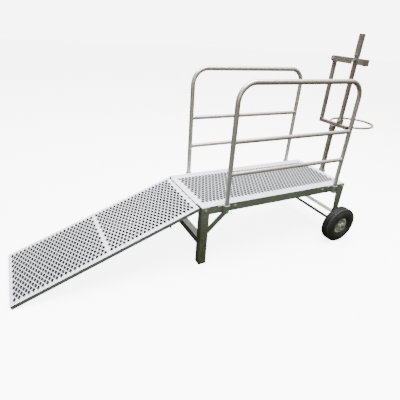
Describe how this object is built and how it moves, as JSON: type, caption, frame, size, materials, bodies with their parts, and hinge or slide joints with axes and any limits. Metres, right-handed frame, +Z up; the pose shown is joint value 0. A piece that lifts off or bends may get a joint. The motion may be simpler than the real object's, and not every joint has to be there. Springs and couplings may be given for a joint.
{
  "type": "goat milking stand",
  "caption": "Galvanised milking stand for a goat: perforated deck with a hinged ramp, lift-out side rails, wheels at the head end and a latching neck gate with a feed ring.",
  "frame": {"origin": "on the ground, in the middle of the object's length and width", "axes": "+X from the ramp's toe to the feed ring, +Y to the left of the animal that stands on it, +Z up"},
  "size_m": [2.5674, 0.7884, 1.346],
  "materials": {
    "sheet": "hot-dip galvanised sheet, satin",
    "angle_steel": "hot-dip galvanised angle, weathered",
    "rail_tube": "hot-dip galvanised tube, satin",
    "gate_steel": "hot-dip galvanised square tube, weathered",
    "fasteners": "zinc-plated",
    "plain_steel": "oiled bare steel",
    "rim": "silver-coated pressed steel",
    "tyre": "matt black rubber"
  },
  "bodies": {
    "stand": {"deck_plate": "sheet", "right_side_rail": "angle_steel", "left_side_rail": "angle_steel", "front_end_rail": "angle_steel", "rear_end_rail": "angle_steel", "deck_bearers": "angle_steel", "right_front_leg": "angle_steel", "left_front_leg": "angle_steel", "front_cross_member": "angle_steel", "right_front_brace": "angle_steel", "left_front_brace": "angle_steel", "right_rear_leg": "angle_steel", "left_rear_leg": "angle_steel", "rear_cross_member": "angle_steel", "mast_socket": "angle_steel", "right_rail_sockets": "rail_tube", "left_rail_sockets": "rail_tube", "frame_bolts": "fasteners", "frame_nuts": "fasteners", "frame_washers": "fasteners", "axle_spacers": "fasteners", "axle_pins": "fasteners", "mast_lock_screw": "fasteners", "axle": "plain_steel", "deck_hinge_leaf": "plain_steel", "hinge_pin": "plain_steel"},
    "ramp": {"ramp_hinge_leaf": "plain_steel", "ramp_plate": "sheet", "right_ramp_side": "angle_steel", "left_ramp_side": "angle_steel", "ramp_top_bar": "angle_steel", "ramp_centre_bar": "angle_steel", "ramp_toe_bar": "angle_steel"},
    "right_wheel": {"right_tyre": "tyre", "right_rim_outer": "rim", "right_rim_inner": "rim", "right_hub": "rim", "right_bearings": "plain_steel", "right_rim_bolts": "fasteners"},
    "left_wheel": {"left_tyre": "tyre", "left_rim_outer": "rim", "left_rim_inner": "rim", "left_hub": "rim", "left_bearings": "plain_steel", "left_rim_bolts": "fasteners"},
    "right_rail": {"right_rail_hoop": "rail_tube", "right_rail_mid_bar": "rail_tube", "right_rail_low_bar": "rail_tube"},
    "left_rail": {"left_rail_hoop": "rail_tube", "left_rail_mid_bar": "rail_tube", "left_rail_low_bar": "rail_tube"},
    "head_gate": {"mast": "gate_steel", "gate_crossbar": "gate_steel", "fixed_upright": "gate_steel", "gate_bolts": "fasteners", "feed_ring": "gate_steel"},
    "neck_bar": {"moving_upright": "gate_steel", "upright_grip": "gate_steel", "upright_bolts": "fasteners"},
    "latch": {"latch": "gate_steel"}
  },
  "joints": [
    {"name": "ramp_hinge", "type": "hinge", "parent": "stand", "child": "ramp", "pos_m": [-0.23176, 0, 0.4055], "axis": [0, 1, 0], "range_deg": [0, 195]},
    {"name": "right_wheel_spin", "type": "hinge", "parent": "stand", "child": "right_wheel", "pos_m": [0.85224, -0.3454, 0.13], "axis": [0, 1, 0], "continuous": true},
    {"name": "left_wheel_spin", "type": "hinge", "parent": "stand", "child": "left_wheel", "pos_m": [0.85224, 0.3454, 0.13], "axis": [0, 1, 0], "continuous": true},
    {"name": "right_rail_lift", "type": "slide", "parent": "stand", "child": "right_rail", "axis": [0, 0, 1], "range_m": [0, 0.08]},
    {"name": "left_rail_lift", "type": "slide", "parent": "stand", "child": "left_rail", "axis": [0, 0, 1], "range_m": [0, 0.08]},
    {"name": "mast_height", "type": "slide", "parent": "stand", "child": "head_gate", "axis": [0, 0, 1], "range_m": [0, 0.12]},
    {"name": "neck_bar_swing", "type": "hinge", "parent": "head_gate", "child": "neck_bar", "pos_m": [0.94074, -0.055, 0.7985], "axis": [1, 0, 0], "range_deg": [0, 12]},
    {"name": "latch_lift", "type": "hinge", "parent": "head_gate", "child": "latch", "pos_m": [0.94074, 0.121, 1.187], "axis": [-1, 0, 0], "range_deg": [0, 36]}
  ],
  "couplings": [
    {"joint": "latch_lift", "follows": "neck_bar_swing", "ratio": 3}
  ]
}
